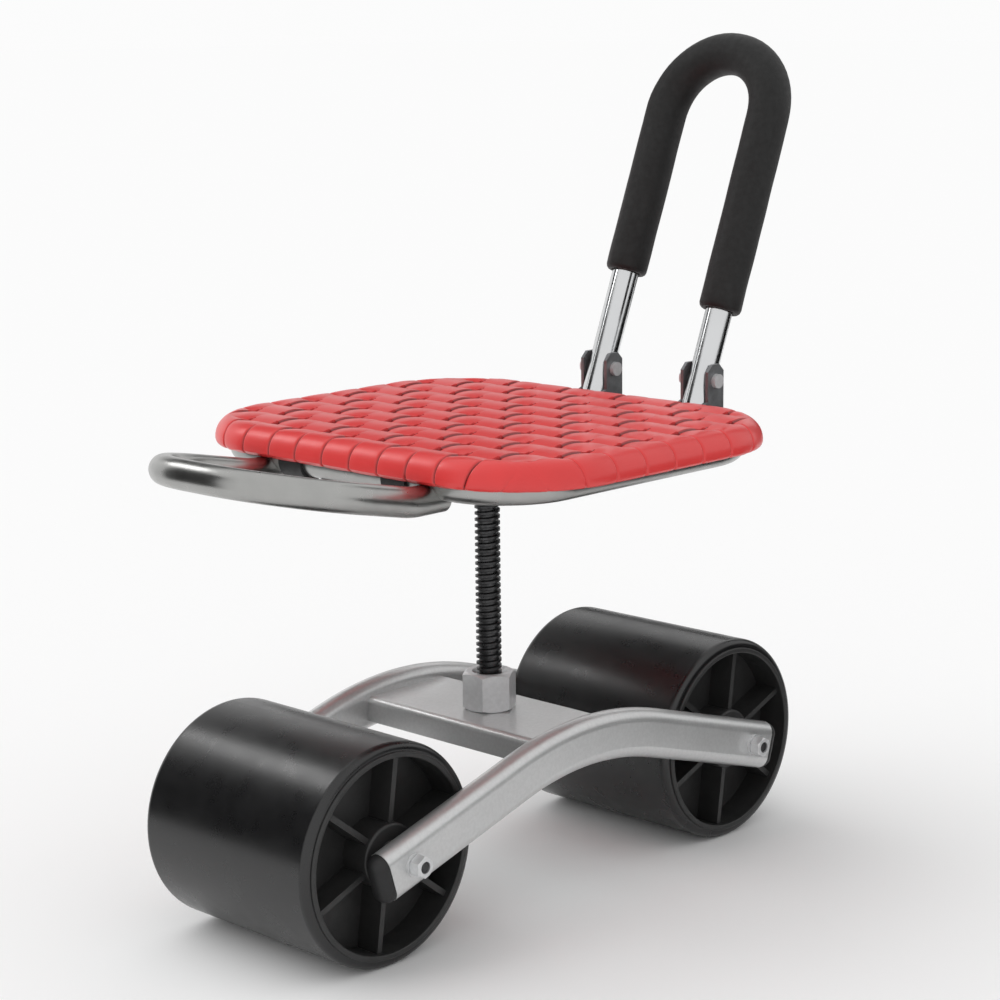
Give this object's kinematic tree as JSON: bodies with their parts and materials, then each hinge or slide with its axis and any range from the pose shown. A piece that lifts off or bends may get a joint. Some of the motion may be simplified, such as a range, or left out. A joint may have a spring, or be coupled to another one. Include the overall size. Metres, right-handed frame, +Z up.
{
  "type": "rolling garden seat",
  "caption": "Rolling garden seat: a woven-look moulded seat on a height screw with a folding padded backrest loop and a front handle, on an arched frame with wide roller drums.",
  "frame": {"origin": "on the floor, straight below the seat screw and midway between the axles", "axes": "+Z up, X along the axles, -Y to the front with the handle"},
  "size_m": [0.344, 0.5516, 0.5899],
  "materials": {
    "drum_black": "satin moulded plastic",
    "cap_black": "matt moulded plastic",
    "bush_grey": "plain nylon",
    "trim_black": "matt moulded plastic",
    "frame_silver": "satin silver paint",
    "bracket_grey": "dark grey steel",
    "screw_black": "black oxide",
    "zinc_steel": "bright zinc",
    "tube_chrome": "polished chrome",
    "tube_satin": "satin chrome",
    "seat_red": "moulded red plastic",
    "foam_black": "matt foam rubber"
  },
  "bodies": {
    "frame": {"left_side_tube": "frame_silver", "right_side_tube": "frame_silver", "tube_end_plugs": "trim_black", "crosspiece": "frame_silver", "seat_screw_nut": "zinc_steel", "front_axle": "screw_black", "front_inner_washers": "zinc_steel", "front_outer_washers": "zinc_steel", "front_axle_nuts": "zinc_steel", "rear_axle": "screw_black", "rear_inner_washers": "zinc_steel", "rear_outer_washers": "zinc_steel", "rear_axle_nuts": "zinc_steel"},
    "front_wheel": {"front_drum_shell": "drum_black", "front_right_drum_cap": "cap_black", "front_left_drum_cap": "cap_black", "front_hub_bushes": "bush_grey"},
    "rear_wheel": {"rear_drum_shell": "drum_black", "rear_right_drum_cap": "cap_black", "rear_left_drum_cap": "cap_black", "rear_hub_bushes": "bush_grey"},
    "lift": {"stop_washer": "zinc_steel"},
    "seat": {"seat_screw": "screw_black", "stop_bolt": "zinc_steel", "flange_plate": "frame_silver", "spine_bar": "frame_silver", "flange_bolts": "zinc_steel", "flange_nuts": "zinc_steel", "seat_ring": "tube_satin", "front_handle": "tube_satin", "bracket_bar": "bracket_grey", "left_backrest_bracket": "bracket_grey", "right_backrest_bracket": "bracket_grey", "pivot_bolts": "zinc_steel", "pivot_nuts": "zinc_steel", "seat_shell": "seat_red", "seat_clips": "trim_black", "seat_clip_screws": "zinc_steel"},
    "backrest": {"backrest_tube": "tube_chrome", "foam_sleeve": "foam_black", "backrest_end_caps": "trim_black"}
  },
  "joints": [
    {"name": "front_wheel_spin", "type": "hinge", "parent": "frame", "child": "front_wheel", "pos_m": [0, -0.174, 0.075], "axis": [1, 0, 0], "continuous": true},
    {"name": "rear_wheel_spin", "type": "hinge", "parent": "frame", "child": "rear_wheel", "pos_m": [0, 0.174, 0.075], "axis": [1, 0, 0], "continuous": true},
    {"name": "seat_lift", "type": "slide", "parent": "frame", "child": "lift", "axis": [0, 0, 1], "range_m": [-0.0901, 0]},
    {"name": "seat_turn", "type": "hinge", "parent": "lift", "child": "seat", "pos_m": [0, 0, 0.119], "axis": [0, 0, 1], "range_deg": [-7200, 0]},
    {"name": "backrest_fold", "type": "hinge", "parent": "seat", "child": "backrest", "pos_m": [0, 0.1765, 0.342], "axis": [1, 0, 0], "range_deg": [0, 100]}
  ],
  "couplings": [
    {"joint": "seat_lift", "follows": "seat_turn", "m_per_rad": 0.0007162}
  ]
}
